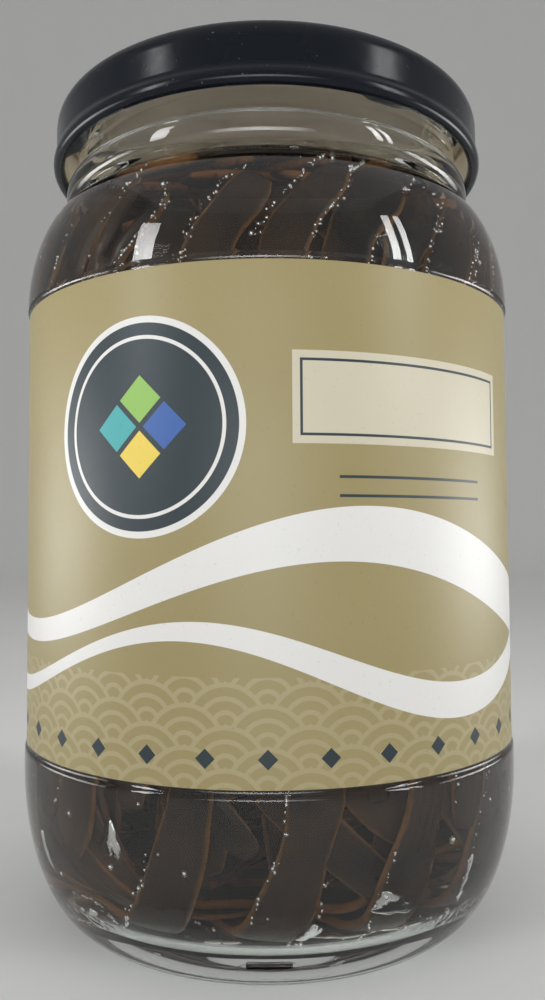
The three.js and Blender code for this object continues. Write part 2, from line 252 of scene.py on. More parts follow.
# Glass with air behind it, or with brine behind it, where it bends the light much less
def makeGlass(name, bend):
    material, tree, shader = newMaterial(name)
    setValues(shader, **{
        "Base Color": glassFinish["tint"], "Roughness": 0.01, "Metallic": 0.0,
        "IOR": bend, "Transmission Weight": 1.0,
    })
    place = objectPlace(tree)
    apart = tree.nodes.new("ShaderNodeSeparateXYZ")
    tree.links.new(place, apart.inputs[0])
    ripple = addNoise(tree, place, glassFinish["rippleScale"], detail=2.0)
    seam = calc(tree, "DIVIDE", calc(tree, "ABSOLUTE", apart.outputs["Y"]), glassFinish["seamWidth"] * mm)
    seam = calc(tree, "SUBTRACT", 1.0, seam, clamp=True)
    dots = tree.nodes.new("ShaderNodeTexVoronoi")
    dots.inputs["Scale"].default_value = glassFinish["stippleScale"]
    tree.links.new(place, dots.inputs["Vector"])
    low = calc(tree, "LESS_THAN", apart.outputs["Z"], glassFinish["stippleTop"] * mm)
    stipple = calc(tree, "MULTIPLY", low, dots.outputs["Distance"])
    height = calc(tree, "ADD", ripple, calc(tree, "MULTIPLY", seam, 0.35))
    addBump(tree, shader, calc(tree, "ADD", height, calc(tree, "MULTIPLY", stipple, 1.5)), 0.12, 0.6 * mm)
    letLampsThrough(tree, shader, glassFinish["shadowTint"])
    return material


# The brine bends light at its top. At the glass that is the wet glass's part, so its side bends none
def makeBrine(name, bend):
    material, tree, shader = newMaterial(name)
    setValues(shader, **{
        "Base Color": (1, 1, 1, 1), "Roughness": 0.0, "Metallic": 0.0,
        "IOR": bend, "Transmission Weight": 1.0,
    })
    letLampsThrough(tree, shader, (1, 1, 1, 1), allLight=bend == 1)
    absorb = tree.nodes.new("ShaderNodeVolumeAbsorption")
    absorb.inputs["Color"].default_value = brineFinish["amber"]
    absorb.inputs["Density"].default_value = brineFinish["density"]
    tree.links.new(absorb.outputs[0], tree.nodes["Material Output"].inputs["Volume"])
    return material


def makeBubble():
    material, tree, shader = newMaterial("airBubble")
    setValues(shader, **{
        "Base Color": (1, 1, 1, 1), "Roughness": 0.02, "Metallic": 0.35,
        "IOR": 1 / brineFinish["bend"], "Transmission Weight": 1.0,
    })
    letLampsThrough(tree, shader, (1, 1, 1, 1))
    return material


lacquerFinish = {
    "black": (0.0042, 0.006, 0.0098, 1), "dust": (0.09, 0.09, 0.09, 1),
    "inside": (0.82, 0.68, 0.54, 1), "insideDull": (0.74, 0.6, 0.46, 1),
}


def makeLacquer():
    material, tree, shader = newMaterial("blackLacquer")
    grain, specks = addGrain(tree, 700, 2400, 0.755)
    tree.links.new(blendColours(tree, specks, lacquerFinish["black"], lacquerFinish["dust"]),
                   shader.inputs["Base Color"])
    rough = calc(tree, "MULTIPLY_ADD", grain, 0.14, 0.13)
    tree.links.new(calc(tree, "ADD", rough, calc(tree, "MULTIPLY", specks, 0.3)), shader.inputs["Roughness"])
    setValues(shader, **{"Metallic": 0.0, "Specular IOR Level": 0.22})
    addBump(tree, shader, grain, 0.05, 0.2 * mm)
    return material


def makeInsideCoat():
    material, tree, shader = newMaterial("insideCoat")
    grain = addGrain(tree, 260, 700, 0.7)[0]
    tree.links.new(blendColours(tree, spread(tree, grain, 0.3, 0.8), lacquerFinish["inside"],
                                lacquerFinish["insideDull"]), shader.inputs["Base Color"])
    setValues(shader, **{"Roughness": 0.38, "Metallic": 0.0})
    addBump(tree, shader, grain, 0.06, 0.2 * mm)
    return material


def makeCompound():
    material, tree, shader = newMaterial("sealingCompound")
    grain, specks = addGrain(tree, 500, 900, 0.66)
    tree.links.new(blendColours(tree, specks, (0.76, 0.66, 0.53, 1), (0.6, 0.5, 0.38, 1)),
                   shader.inputs["Base Color"])
    setValues(shader, **{"Roughness": 0.5, "Metallic": 0.0})
    addBump(tree, shader, grain, 0.15, 0.2 * mm)
    return material


# The amber is painted light: the glow of light shining through the straps' thin edges
strapFinish = {
    "dark": (0.004, 0.0028, 0.0022, 1), "brown": (0.027, 0.0135, 0.006, 1), "amber": (0.19, 0.088, 0.027, 1),
    "sheen": 0.16, "dull": 0.16, "ridges": 30.0,
}


def makeSeaweed():
    material, tree, shader = newMaterial("wetSeaweed")
    place = objectPlace(tree)
    uv = tree.nodes.new("ShaderNodeTexCoord").outputs["UV"]
    apart = tree.nodes.new("ShaderNodeSeparateXYZ")
    tree.links.new(uv, apart.inputs[0])
    across = calc(tree, "ABSOLUTE", calc(tree, "MULTIPLY_ADD", apart.outputs["X"], 2.0, -1.0))
    broad = addNoise(tree, place, 85, detail=3.0)
    fine, specks = addGrain(tree, 620, 1300, 0.66)
    colour = blendColours(tree, spread(tree, broad, 0.36, 0.66), strapFinish["dark"], strapFinish["brown"])
    # Painted light: amber towards each strap's edges stands in for light shining through the thin edges,
    # broken up by fine grain
    edge = calc(tree, "MULTIPLY_ADD", fine, 0.5, calc(tree, "POWER", across, 3.0))
    colour = blendColours(tree, spread(tree, edge, 0.75, 1.5), colour, strapFinish["amber"])
    colour = blendColours(tree, calc(tree, "MULTIPLY", specks, 0.5), colour, strapFinish["dark"])
    tree.links.new(colour, shader.inputs["Base Color"])
    rough = calc(tree, "MULTIPLY_ADD", fine, strapFinish["dull"], strapFinish["sheen"])
    tree.links.new(rough, shader.inputs["Roughness"])
    setValues(shader, **{"Metallic": 0.0, "IOR": 1.22})
    ridges = calc(tree, "SINE", calc(tree, "MULTIPLY_ADD", apart.outputs["X"], strapFinish["ridges"],
                                     calc(tree, "MULTIPLY", broad, 9.0)))
    height = calc(tree, "MULTIPLY_ADD", ridges, 0.16, calc(tree, "MULTIPLY", broad, 1.5))
    addBump(tree, shader, height, 0.3, 0.35 * mm)
    return material


paperFinish = {
    "radius": 36.15, "bottom": 25.6, "soft": 0.05,
    "khaki": (0.285, 0.236, 0.101, 1), "khakiPale": (0.316, 0.264, 0.121, 1),
    "tone": (0.362, 0.308, 0.166, 1),
    "slate": (0.012, 0.026, 0.034, 1), "white": (0.7, 0.695, 0.675, 1), "cream": (0.55, 0.51, 0.39, 1),
    "teal": (0.05, 0.36, 0.37, 1), "blue": (0.035, 0.11, 0.36, 1), "green": (0.25, 0.47, 0.09, 1),
    "yellow": (0.74, 0.56, 0.08, 1),
    "roundel": {"x": -15.5, "y": 41.5, "r": 12.4, "ring": 10.9, "line": 0.45, "tile": 3.3},
    "plaque": {"x": 19.5, "y": 44.5, "halfWide": 16.5, "halfHigh": 5.4, "inset": 0.9, "line": 0.16},
    "rules": {"x": 19.5, "halfWide": 11.0, "line": 0.17, "rows": (35.3, 33.1)},
    "ribbons": (
        {"y": 22.5, "rise": 6.2, "length": 15.5, "start": 0.9, "half": 2.7, "swell": 1.2, "swellLength": 24},
        {"y": 13.0, "rise": 4.6, "length": 11.5, "start": 2.4, "half": 1.5, "swell": 0.7, "swellLength": 17},
    ),
    "scallop": {"wide": 9.6, "top": 12.5, "line": 0.55, "gap": 1.55},
    "chain": {"y": 3.4, "step": 7.2, "half": 1.15},
    "panels": {"x": 76.0, "y": 33.0, "halfWide": 20.0, "halfHigh": 19.0, "frame": 0.3, "margin": 3,
               "ruleStep": 3.1, "rule": 0.1},
}


# Masks of printed shapes, from 0 outside to 1 inside, in millimetres along and up the label
def inkEdge(tree, inside):
    return calc(tree, "MULTIPLY_ADD", inside, 1 / paperFinish["soft"], 0.5, clamp=True)


def awayFrom(tree, value, centre):
    return calc(tree, "ABSOLUTE", calc(tree, "SUBTRACT", value, centre))


def discMask(tree, x, y, centreX, centreY, r):
    along = calc(tree, "POWER", awayFrom(tree, x, centreX), 2.0)
    up = calc(tree, "POWER", awayFrom(tree, y, centreY), 2.0)
    away = calc(tree, "SQRT", calc(tree, "ADD", along, up))
    return inkEdge(tree, calc(tree, "SUBTRACT", r, away))


def boxMask(tree, x, y, centreX, centreY, halfWide, halfHigh):
    along = calc(tree, "SUBTRACT", awayFrom(tree, x, centreX), halfWide)
    up = calc(tree, "SUBTRACT", awayFrom(tree, y, centreY), halfHigh)
    return inkEdge(tree, calc(tree, "MULTIPLY", calc(tree, "MAXIMUM", along, up), -1.0))


def lozengeMask(tree, x, y, centreX, centreY, half):
    away = calc(tree, "ADD", awayFrom(tree, x, centreX), awayFrom(tree, y, centreY))
    return inkEdge(tree, calc(tree, "SUBTRACT", half, away))


def ribbonMask(tree, x, y, ribbon):
    wave = calc(tree, "SINE", calc(tree, "MULTIPLY_ADD", x, 1 / ribbon["length"], ribbon["start"]))
    middle = calc(tree, "MULTIPLY_ADD", wave, ribbon["rise"], ribbon["y"])
    swell = calc(tree, "SINE", calc(tree, "MULTIPLY", x, 1 / ribbon["swellLength"]))
    half = calc(tree, "MULTIPLY_ADD", swell, ribbon["swell"], ribbon["half"])
    return inkEdge(tree, calc(tree, "SUBTRACT", half, awayFrom(tree, y, middle)))


# The old wave pattern of overlapping scallops: in each place the lowest circle that holds it shows its rings
def scallopMask(tree, x, y):
    rule = paperFinish["scallop"]
    rowHigh = rule["wide"] / 4
    row = calc(tree, "FLOOR", calc(tree, "DIVIDE", y, rowHigh))
    shown = 0.0
    for step in (1, 0, -1):
        current = calc(tree, "ADD", row, float(step))
        odd = calc(tree, "MODULO", calc(tree, "ADD", current, 100.0), 2.0)
        offset = calc(tree, "MULTIPLY_ADD", odd, rule["wide"] / 2, rule["wide"] * 40.5)
        shifted = calc(tree, "ADD", offset, x)
        along = calc(tree, "SUBTRACT", calc(tree, "MODULO", shifted, rule["wide"]), rule["wide"] / 2)
        up = calc(tree, "MULTIPLY_ADD", current, -rowHigh, y)
        away = calc(tree, "SQRT", calc(tree, "ADD", calc(tree, "POWER", calc(tree, "ABSOLUTE", along), 2.0),
                                       calc(tree, "POWER", calc(tree, "ABSOLUTE", up), 2.0)))
        inside = inkEdge(tree, calc(tree, "SUBTRACT", rule["wide"] / 2, away))
        inward = calc(tree, "MODULO", calc(tree, "SUBTRACT", rule["wide"] / 2, away), rule["gap"])
        ring = inkEdge(tree, calc(tree, "SUBTRACT", rule["line"], inward))
        under = calc(tree, "MULTIPLY", shown, calc(tree, "SUBTRACT", 1.0, inside))
        shown = calc(tree, "MULTIPLY_ADD", inside, ring, under)
    return calc(tree, "MULTIPLY", shown, inkEdge(tree, calc(tree, "SUBTRACT", rule["top"], y)))


def printTiles(tree, colour, x, y, centreX, centreY, tile):
    places = (("teal", -1, 0), ("blue", 1, 0), ("green", 0, 1), ("yellow", 0, -1))
    for ink, along, up in places:
        mask = lozengeMask(tree, x, y, centreX + along * tile, centreY + up * tile, tile * 0.86)
        colour = blendColours(tree, mask, colour, paperFinish[ink])
    return colour


def makePrintedPaper():
    material, tree, shader = newMaterial("printedPaper")
    place = objectPlace(tree)
    apart = tree.nodes.new("ShaderNodeSeparateXYZ")
    tree.links.new(place, apart.inputs[0])
    back = calc(tree, "MULTIPLY", apart.outputs["Y"], -1.0)
    x = calc(tree, "MULTIPLY", calc(tree, "ARCTAN2", apart.outputs["X"], back), paperFinish["radius"])
    y = calc(tree, "MULTIPLY_ADD", apart.outputs["Z"], 1 / mm, -paperFinish["bottom"])
    fine, specks = addGrain(tree, 1400, 2600, 0.7)
    khaki = blendColours(tree, spread(tree, addNoise(tree, place, 26), 0.3, 0.7),
                         paperFinish["khaki"], paperFinish["khakiPale"])
    colour = blendColours(tree, scallopMask(tree, x, y), khaki, paperFinish["tone"])
    for ribbon in paperFinish["ribbons"]:
        colour = blendColours(tree, ribbonMask(tree, x, y, ribbon), colour, paperFinish["white"])

    # The row of small lozenges near the lower edge
    chain = paperFinish["chain"]
    along = calc(tree, "MODULO", calc(tree, "ADD", x, chain["step"] * 40.5), chain["step"])
    beside = calc(tree, "SUBTRACT", along, chain["step"] / 2)
    lozenges = lozengeMask(tree, beside, y, 0.0, chain["y"], chain["half"])
    colour = blendColours(tree, lozenges, colour, paperFinish["slate"])

    # The bare plaque with its thin frame, and the rules under it
    plaque = paperFinish["plaque"]
    sizes = [(plaque["halfWide"] - cut, plaque["halfHigh"] - cut)
             for cut in (0, plaque["inset"], plaque["inset"] + plaque["line"] * 2)]
    for (wide, high), ink in zip(sizes, ("cream", "slate", "cream")):
        colour = blendColours(tree, boxMask(tree, x, y, plaque["x"], plaque["y"], wide, high), colour,
                              paperFinish[ink])
    rules = paperFinish["rules"]
    for row in rules["rows"]:
        colour = blendColours(tree, boxMask(tree, x, y, rules["x"], row, rules["halfWide"], rules["line"]),
                              colour, paperFinish["slate"])

    # The dark roundel with its ring and tiles
    roundel = paperFinish["roundel"]
    for r, ink in ((roundel["r"] + 0.8, "white"), (roundel["r"], "slate"), (roundel["ring"], "white"),
                   (roundel["ring"] - roundel["line"], "slate")):
        disc = discMask(tree, x, y, roundel["x"], roundel["y"], r)
        colour = blendColours(tree, disc, colour, paperFinish[ink])
    colour = printTiles(tree, colour, x, y, roundel["x"], roundel["y"], roundel["tile"])

    # Two bare pale panels at the back
    panels = paperFinish["panels"]
    turned = calc(tree, "ABSOLUTE", x)
    for cut, ink in ((0, "slate"), (panels["frame"], "cream")):
        wide, high = panels["halfWide"] - cut, panels["halfHigh"] - cut
        box = boxMask(tree, turned, y, panels["x"], panels["y"], wide, high)
        colour = blendColours(tree, box, colour, paperFinish[ink])
    beside = awayFrom(tree, calc(tree, "MODULO", y, panels["ruleStep"]), panels["ruleStep"] / 2)
    wide, high = panels["halfWide"] - panels["margin"], panels["halfHigh"] - panels["margin"]
    ruled = boxMask(tree, turned, y, panels["x"], panels["y"], wide, high)
    rule = calc(tree, "MULTIPLY", inkEdge(tree, calc(tree, "SUBTRACT", panels["rule"], beside)), ruled)
    colour = blendColours(tree, rule, colour, paperFinish["tone"])
    colour = blendColours(tree, calc(tree, "MULTIPLY", specks, 0.12), colour, paperFinish["slate"])
    tree.links.new(colour, shader.inputs["Base Color"])
    tree.links.new(calc(tree, "MULTIPLY_ADD", fine, 0.12, 0.36), shader.inputs["Roughness"])
    setValues(shader, **{"Metallic": 0.0})
    addBump(tree, shader, calc(tree, "MULTIPLY_ADD", addNoise(tree, place, 60), 2.0, fine), 0.05, 0.3 * mm)
    return material


def makePaperCore():
    material, tree, shader = newMaterial("paperCore")
    fine = addGrain(tree, 1800, 2600, 0.7)[0]
    tree.links.new(blendColours(tree, fine, (0.62, 0.6, 0.54, 1), (0.78, 0.77, 0.73, 1)),
                   shader.inputs["Base Color"])
    setValues(shader, **{"Roughness": 0.7, "Metallic": 0.0})
    addBump(tree, shader, fine, 0.1, 0.2 * mm)
    return material


clearGlass = makeGlass("clearGlass", glassFinish["bend"])
wetGlass = makeGlass("wetGlass", glassFinish["bend"] / brineFinish["bend"])
brineTop = makeBrine("brineTop", brineFinish["bend"])
brineSide = makeBrine("brineSide", 1.0)
airBubble = makeBubble()
blackLacquer = makeLacquer()
insideCoat = makeInsideCoat()
sealingCompound = makeCompound()
wetSeaweed = makeSeaweed()
printedPaper = makePrintedPaper()
paperCore = makePaperCore()
print("materials made:", len(bpy.data.materials))


# The brine fills the inside to the neck and climbs the glass a little at its edge

brineShape = {"steps": 160, "gap": 0.02, "level": 104.0, "climb": 0.8, "climbWidth": 1.9}


def buildBrine():
    s = brineShape
    wall = innerWall(-s["gap"], 26)
    edge = jarShape["mouthRadius"] + 0.1 - s["gap"]
    top = [(edge, s["level"] + s["climb"])]
    for i in range(1, 9):
        away = s["climbWidth"] * i / 8
        top.append((edge - away, s["level"] + s["climb"] * math.exp(-3.2 * away / s["climbWidth"])))
    inward = [(edge * k, s["level"]) for k in (0.86, 0.7, 0.5, 0.25, 0)]
    neck = [(jarShape["mouthRadius"] + 0.2 - s["gap"], jarShape["beadLow"])]
    brine = turnPiece("brine_body", wall + neck + top + inward, s["steps"])
    for vertex in brine.data.vertices:
        x, y, z = [value / mm for value in vertex.co]
        r = math.hypot(x, y)
        if isRippled(r, z):
            change = innerRipple(math.atan2(x, -y), z)
            vertex.co.x *= (r + change) / r
            vertex.co.y *= (r + change) / r
    standFor(brine, "jar", "brine", ["brine"], brineTop, brineSide)
    for face in brine.data.polygons:
        face.material_index = 0 if face.normal.z > 0.1 and face.center.z / mm > s["level"] - 0.5 else 1
    return brine


# The jar, turned in glass

jarShape = {
    "steps": 160, "bodyRadius": 36.4, "panelRadius": 36.0,
    "panelBottom": 25.1, "panelTop": 86.6, "step": 0.4,
    "footRadius": 26.6, "footWidth": 2.4, "pushUp": 2.6, "heelTop": 22.0,
    "shoulderCentre": 28.4, "shoulderFoot": 87.0, "shoulderRise": 15.8,
    "grooveRadius": 29.4, "beadRadius": 31.0, "beadLow": 103.4, "beadHigh": 107.4, "finishRadius": 29.3,
    "glassTop": 116.0, "mouthRadius": 26.0,
    "innerRadius": 34.1, "innerFloor": 4.8, "floorMiddle": 5.0, "innerHeelCentre": 22.6,
    "innerShoulderCentre": 25.4, "innerShoulderFoot": 86.2, "innerShoulderRise": 14.8,
    "threadStarts": 4, "threadFirst": 30.0, "threadFrom": -12.0, "threadTo": 46.0, "threadUnder": 111.3,
    "threadSlope": 1.5 / 65, "threadThick": 1.7, "threadHigh": 1.5,
    "notchWide": 5.4, "notchHigh": 1.2, "notchDeep": 0.5, "notchAngle": 52.0,
    "ripple": {"height": 0.13, "from": 8.0, "over": 14.0, "leastRadius": 12.0,
               "waves": ((3, 15.0, 1.0), (7, -8.0, 0.6), (0, 5.2, 0.4))},  # times round, length up, size
    "middle": {"radius": 35.2, "floor": 2.2, "heelCentre": 24.6, "shoulderCentre": 26.9,
               "shoulderRise": 15.6},
}


# The blown inside of the glass is a little uneven
def innerRipple(angle, z):
    rule = jarShape["ripple"]
    height = min(max(z - rule["from"], 0) / rule["over"], 1) * rule["height"]
    waves = [size * math.sin(around * angle + z / length) for around, length, size in rule["waves"]]
    return height * sum(waves)


def isRippled(r, z):
    s = jarShape
    return r > s["ripple"]["leastRadius"] and s["innerFloor"] + 1 < z < s["beadLow"] - 1


def innerWall(grow, steps):
    s = jarShape
    floor = s["innerFloor"] - grow
    heel = arcPoints(s["innerHeelCentre"], s["heelTop"], s["innerRadius"] - s["innerHeelCentre"] + grow,
                     s["heelTop"] - floor, -90, 0, steps)
    shoulder = arcPoints(s["innerShoulderCentre"], s["innerShoulderFoot"],
                         s["innerRadius"] - s["innerShoulderCentre"] + grow, s["innerShoulderRise"] + grow,
                         0, 84, steps)
    return [(0, s["floorMiddle"] - grow)] + heel + shoulder


def jarOutline():
    s = jarShape
    heel = arcPoints(s["footRadius"], s["heelTop"], s["bodyRadius"] - s["footRadius"], s["heelTop"],
                     -88, 0, 30)
    shoulder = arcPoints(s["shoulderCentre"], s["shoulderFoot"], s["bodyRadius"] - s["shoulderCentre"],
                         s["shoulderRise"], 0, 81, 26)
    foot = softCorners([
        (0, s["pushUp"], 0), (8, s["pushUp"] - 0.1, 2), (14, s["pushUp"] - 0.4, 2),
        (s["footRadius"] - s["footWidth"] - 1.4, 0.7, 2), (s["footRadius"] - s["footWidth"], 0, 1.0),
        (*heel[0], 0),
    ])
    panel = softCorners([
        (*heel[-1], 0), (s["bodyRadius"], s["panelBottom"] - s["step"], 0.5),
        (s["panelRadius"], s["panelBottom"], 0.5), (s["panelRadius"], s["panelTop"], 0.5),
        (*shoulder[0], 0),
    ])
    neck = softCorners([
        (*shoulder[-1], 0), (s["grooveRadius"], s["beadLow"] - 0.8, 0.6),
        (s["beadRadius"] - 0.4, s["beadLow"], 0.6), (s["beadRadius"], s["beadLow"] + 1, 0.8),
        (s["beadRadius"], s["beadHigh"] - 1.4, 0.8), (s["beadRadius"] - 0.6, s["beadHigh"] - 0.4, 0.7),
        (s["finishRadius"], s["beadHigh"], 0.5), (s["finishRadius"], s["beadHigh"] + 1.2, 0),
    ])
    wall = [(s["finishRadius"], s["beadHigh"] + 1.4 + i * 0.2) for i in range(27)]
    mouth = softCorners([
        (s["finishRadius"], s["glassTop"] - 1.8, 0), (s["finishRadius"] - 0.8, s["glassTop"] - 0.4, 0.8),
        (s["finishRadius"] - 1.7, s["glassTop"], 0.8), (s["mouthRadius"] + 0.8, s["glassTop"] - 0.1, 0.8),
        (s["mouthRadius"], s["glassTop"] - 0.9, 0.8), (s["mouthRadius"] - 0.1, s["beadHigh"] + 1, 3),
        (s["mouthRadius"] + 0.1, brineShape["level"] + brineShape["climb"], 0.2),
        (s["mouthRadius"] + 0.2, s["beadLow"], 0),
    ])
    inside = innerWall(0, 26)
    inside.reverse()
    return foot + heel[1:-1] + panel + shoulder[1:-1] + neck + wall + mouth + inside


def threadHeight(angle, z):
    s = jarShape
    high = 0
    for start in range(s["threadStarts"]):
        turn = math.degrees(angle) - s["threadFirst"] - start * 360 / s["threadStarts"]
        turn = (turn + 180) % 360 - 180
        if s["threadFrom"] < turn < s["threadTo"]:
            middle = s["threadUnder"] + s["threadSlope"] * turn + s["threadThick"] / 2
            across = abs(z - middle) / (s["threadThick"] / 2)
            ends = min(turn - s["threadFrom"], s["threadTo"] - turn) / 6
            high = max(high, s["threadHigh"] * math.sqrt(max(0, 1 - across ** 2)) * min(1, ends))
    return high


def buildJar():
    s = jarShape
    jar = turnPiece("glass_jar", jarOutline(), s["steps"])
    wallLow, wallHigh = s["beadHigh"] + 1.2, s["glassTop"] - 1.7
    for vertex in jar.data.vertices:
        x, y, z = [value / mm for value in vertex.co]
        r = math.hypot(x, y)
        angle = math.atan2(x, -y)
        change = 0
        if r > s["finishRadius"] - 0.05 and wallLow < z < wallHigh:
            change = threadHeight(angle, z)
        elif isRippled(r, z) and isInnerPoint(r, z):
            change = innerRipple(angle, z)
        if change:
            vertex.co.x *= (r + change) / r
            vertex.co.y *= (r + change) / r
    cutNotch(jar)
    standFor(jar, "jar", "glass", ["jar"], clearGlass, wetGlass)
    for face in jar.data.polygons:
        r, z = math.hypot(face.center.x, face.center.y) / mm, face.center.z / mm
        reached = s["innerFloor"] - 0.4 < z < brineShape["level"] + brineShape["climb"]
        face.material_index = 1 if reached and isInnerPoint(r, z) else 0
    return jar


# Whether a point of the jar's outline is on its inner wall: nearer the axis than the middle of the glass
def isInnerPoint(r, z):
    s, middle = jarShape, jarShape["middle"]
    centre, lift = middle["heelCentre"], 0
    if z < s["heelTop"]:
        lift = (s["heelTop"] - z) / (s["heelTop"] - middle["floor"])
    elif z > s["innerShoulderFoot"]:
        centre = middle["shoulderCentre"]
        lift = (z - s["innerShoulderFoot"]) / middle["shoulderRise"]
    return r < centre + (middle["radius"] - centre) * math.sqrt(max(0, 1 - lift ** 2))


def cutNotch(jar):
    s = jarShape
    angle = math.radians(s["notchAngle"])
    halfR = s["bodyRadius"] - s["footRadius"]
    slope = math.atan2(s["heelTop"] * math.cos(angle), halfR * math.sin(angle))
    place = (0, -(s["footRadius"] + halfR * math.cos(angle)) * mm, s["heelTop"] * (1 - math.sin(angle)) * mm)
    startClean()
    size = (s["notchWide"] * mm, 2 * s["notchDeep"] * mm, s["notchHigh"] * mm)
    bpy.ops.mesh.primitive_cube_add(size=1, location=place, rotation=(math.pi / 2 - slope, 0, 0), scale=size)
    notch = nameActive("notchCutter")
    bpy.ops.object.transform_apply(location=True, rotation=True, scale=True)
    addModifier(notch, "BEVEL", width=0.3 * mm, segments=3)
    addModifier(jar, "BOOLEAN", operation="DIFFERENCE", object=notch, solver="EXACT")
    bpy.data.objects.remove(notch)
    pickOnly(jar)
    bpy.ops.object.shade_smooth_by_angle(angle=math.radians(40))


# The lid, pressed from sheet, with its button, rolled rim and four lugs

lidShape = {
    "steps": 180, "radius": 32.5, "curlRadius": 32.95, "bottom": 109.0, "top": 117.8, "sheet": 0.45,
    "buttonRadius": 11.0, "buttonDrop": 0.45, "lugs": 4, "lugFirst": 30.0, "lugHalfArc": 6.5,
    "lugInner": 29.75, "lugLow": 109.5, "lugHigh": 111.0,
}


def lidOutline():
    s = lidShape
    panel, low, curl, sheet = s["top"] - 0.4, s["bottom"], s["curlRadius"], s["sheet"]
    return softCorners([
        (0, panel - s["buttonDrop"], 0), (s["buttonRadius"] - 1.5, panel - s["buttonDrop"], 0.7),
        (s["buttonRadius"], panel, 0.7), (26.5, panel, 0.9), (28.2, s["top"], 0.9), (30.6, s["top"], 0.8),
        (31.9, s["top"] - 0.6, 0.9), (s["radius"], s["top"] - 1.9, 0.9), (s["radius"], low + 2.3, 0.5),
        (curl, low + 1.5, 0.6), (curl, low + 0.6, 0.6), (curl - 0.5, low, 0.5), (curl - 1.2, low, 0.5),
        (curl - 1.65, low + 0.6, 0.6), (curl - 1.65, low + 1.5, 0.6), (s["radius"] - sheet, low + 2.3, 0.5),
        (s["radius"] - sheet, s["top"] - 2, 0.6), (31.5, s["top"] - 0.85, 0.4), (28.8, s["top"] - 0.88, 0.4),
        (s["buttonRadius"], panel - sheet, 0.7),
        (s["buttonRadius"] - 1.5, panel - s["buttonDrop"] - sheet, 0.7),
        (0, panel - s["buttonDrop"] - sheet, 0),
    ])


def lugReach(angle, z):
    s = lidShape
    for lug in range(s["lugs"]):
        turn = math.degrees(angle) - s["lugFirst"] - lug * 360 / s["lugs"]
        turn = abs((turn + 180) % 360 - 180) / s["lugHalfArc"]
        up = abs(z - (s["lugLow"] + s["lugHigh"]) / 2) / (s["lugHigh"] - s["lugLow"]) * 2
        if turn < 1 and up < 1.3:
            return math.sqrt(1 - turn ** 4) * max(0, 1 - (up / 1.3) ** 4)
    return 0


def buildLid():
    s = lidShape
    lid = turnPiece("twist_lid", lidOutline(), s["steps"])
    reach = s["curlRadius"] - 1.65 - s["lugInner"]
    for vertex in lid.data.vertices:
        x, y, z = [value / mm for value in vertex.co]
        r = math.hypot(x, y)
        if r < s["curlRadius"] - 1.0 and z < s["lugHigh"] + 0.6:
            change = -reach * lugReach(math.atan2(x, -y), z)
            vertex.co.x *= (r + change) / r
            vertex.co.y *= (r + change) / r
    standFor(lid, "lid", "lacquer", ["lid"], blackLacquer, insideCoat)
    for face in lid.data.polygons:
        centre = face.center
        r = max(math.hypot(centre.x, centre.y), 1e-6)
        inward = -(face.normal.x * centre.x + face.normal.y * centre.y) / r
        low = face.normal.z < -0.3 or (face.normal.z < 0.2 and inward > 0.3)
        if low and centre.z / mm > s["bottom"] + 2.2 and r / mm < 32.2:
            face.material_index = 1
    pickOnly(lid)
    bpy.ops.object.shade_smooth_by_angle(angle=math.radians(40))
    return lid


# The ring of sealing compound in the lid, with the groove that the rim pressed in it

sealShape = {"steps": 128, "inner": 25.2, "outer": 31.1, "under": 116.12, "roof": 116.94, "groove": 0.1}


def buildSeal():
    s = sealShape
    outline = softCorners([
        (s["inner"], s["under"] + 0.3, 0.2), (s["inner"] + 0.5, s["under"] - 0.03, 0.3),
        (26.3, s["under"] - 0.05, 0.3), (27.0, s["under"] - s["groove"], 0.3),
        (28.2, s["under"] - s["groove"], 0.3), (28.9, s["under"] - 0.04, 0.3),
        (s["outer"] - 0.4, s["under"], 0.3), (s["outer"], s["under"] + 0.3, 0.2),
        (s["outer"] - 0.2, s["roof"], 0.1), (s["inner"] + 0.3, s["roof"], 0.1),
        (s["inner"], s["under"] + 0.3, 0),
    ])
    outline[0] = outline[-1]
    seal = turnPiece("seal_ring", outline, s["steps"])
    standFor(seal, "seal", "compound", ["lid_seal"], sealingCompound)
    return seal


# The paper label, cut flat and wrapped round the panel

labelShape = {"radius": 35.98, "thick": 0.17, "bottom": 25.6, "top": 86.1, "halfTurn": 171.0, "around": 228,
              "up": 12}


def buildLabel():
    s = labelShape
    startClean()
    bpy.ops.mesh.primitive_grid_add(x_subdivisions=s["around"], y_subdivisions=s["up"], size=1)
    label = nameActive("paper_label")
    for vertex in label.data.vertices:
        angle = math.radians(vertex.co.x * 2 * s["halfTurn"])
        z = s["bottom"] + (vertex.co.y + 0.5) * (s["top"] - s["bottom"])
        vertex.co = (s["radius"] * math.sin(angle) * mm, -s["radius"] * math.cos(angle) * mm, z * mm)
    editAll(label, lambda: bpy.ops.mesh.normals_make_consistent(inside=False))
    flipped = label.data.polygons[0].normal.dot(label.data.polygons[0].center) < 0
    if flipped:
        editAll(label, lambda: bpy.ops.mesh.flip_normals())
    standFor(label, "jar", "label_paper", ["label"], printedPaper, paperCore)
    addModifier(label, "SOLIDIFY", thickness=s["thick"] * mm, offset=1, material_offset=1,
                material_offset_rim=1)
    for face in label.data.polygons:
        outward = face.normal.x * face.center.x + face.normal.y * face.center.y
        face.material_index = 0 if outward > 0.5 * math.hypot(face.center.x, face.center.y) else 1
    pickOnly(label)
    bpy.ops.object.shade_smooth_by_angle(angle=math.radians(40))
    return label


buildJar()
buildLid()
buildSeal()
buildLabel()
print("jar, lid, seal and label built")


# The straps: lines laid on layers that follow the inside of the glass, then given width and thickness

